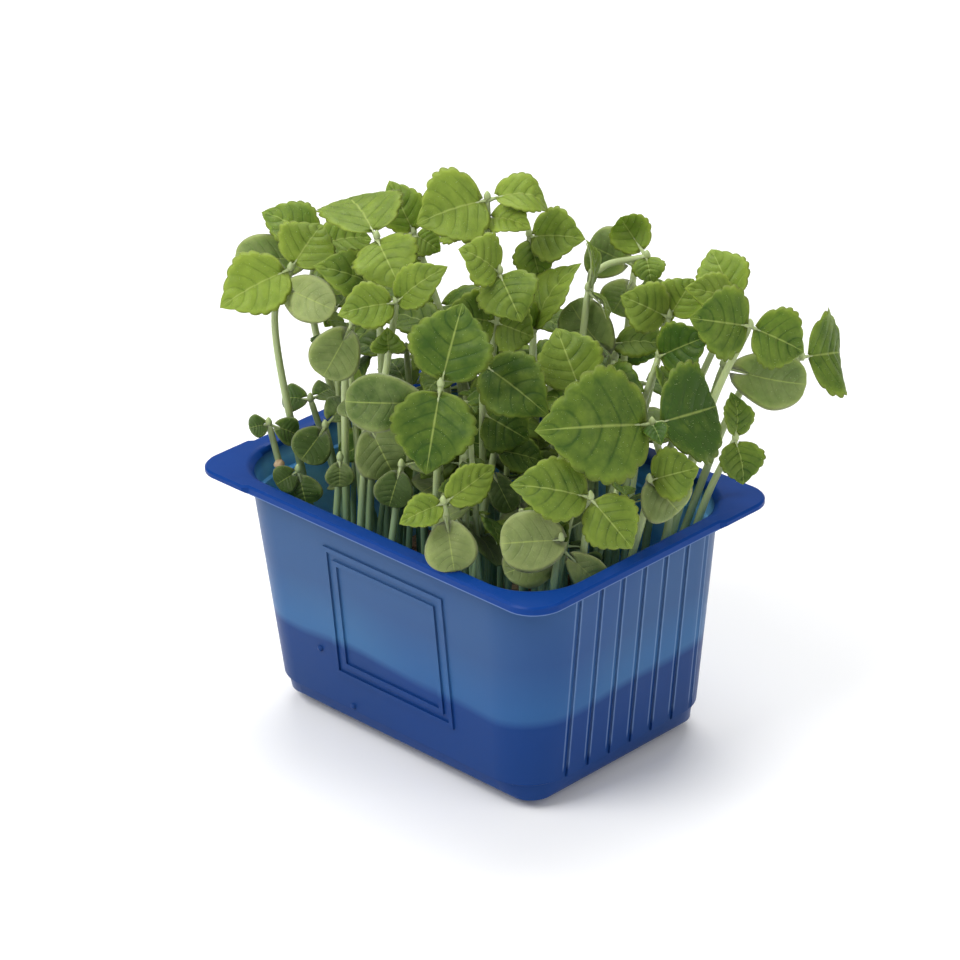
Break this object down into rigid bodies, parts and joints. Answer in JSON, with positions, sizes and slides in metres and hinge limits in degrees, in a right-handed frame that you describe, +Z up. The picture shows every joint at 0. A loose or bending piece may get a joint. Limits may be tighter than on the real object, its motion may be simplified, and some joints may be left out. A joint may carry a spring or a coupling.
{
  "type": "microgreens_tray",
  "caption": "Microgreens tray: toothed and round-leaved green seedlings rooted in brown fibre in a translucent blue plastic tray with a turned-out rim",
  "frame": {"origin": "under the middle of the foot's flat underside, where the tray rests", "axes": "+X along the long sides, +Y from the side with the low seedlings to the tall back ones, +Z up"},
  "size_m": [0.1067, 0.0963, 0.1148],
  "materials": {
    "tray_plastic": "translucent blue moulded plastic with a satin gloss",
    "fibre_mat": "brown fibre growing mat, matt",
    "seedling_green": null
  },
  "bodies": {
    "root": {"tray": "tray_plastic", "growing_mat": "fibre_mat", "seedling_back_1": "seedling_green", "seedling_back_2": "seedling_green", "seedling_back_3": "seedling_green", "seedling_back_4": "seedling_green", "seedling_back_5": "seedling_green", "seedling_back_6": "seedling_green", "seedling_back_left": "seedling_green", "seedling_back_right": "seedling_green", "seedling_big_seed_leaf": "seedling_green", "seedling_biggest": "seedling_green", "seedling_centre": "seedling_green", "seedling_centre_right": "seedling_green", "seedling_crinkled": "seedling_green", "seedling_crown": "seedling_green", "seedling_crown_left": "seedling_green", "seedling_crown_right": "seedling_green", "seedling_curled": "seedling_green", "seedling_dark_right": "seedling_green", "seedling_disc_dark": "seedling_green", "seedling_disc_left": "seedling_green", "seedling_disc_middle": "seedling_green", "seedling_disc_rim": "seedling_green", "seedling_edge_on": "seedling_green", "seedling_edge_right": "seedling_green", "seedling_far_left": "seedling_green", "seedling_front_left": "seedling_green", "seedling_front_pair": "seedling_green", "seedling_front_seed_leaf": "seedling_green", "seedling_heart": "seedling_green", "seedling_kidney": "seedling_green", "seedling_low_left": "seedling_green", "seedling_low_right": "seedling_green", "seedling_middle_left": "seedling_green", "seedling_middle_right": "seedling_green", "seedling_outer_left": "seedling_green", "seedling_pair_right": "seedling_green", "seedling_rim_left": "seedling_green", "seedling_round_left": "seedling_green", "seedling_shaded": "seedling_green", "seedling_side_on": "seedling_green", "seedling_small_pair": "seedling_green", "seedling_underside": "seedling_green", "seedling_upper_middle": "seedling_green"}
  },
  "joints": []
}
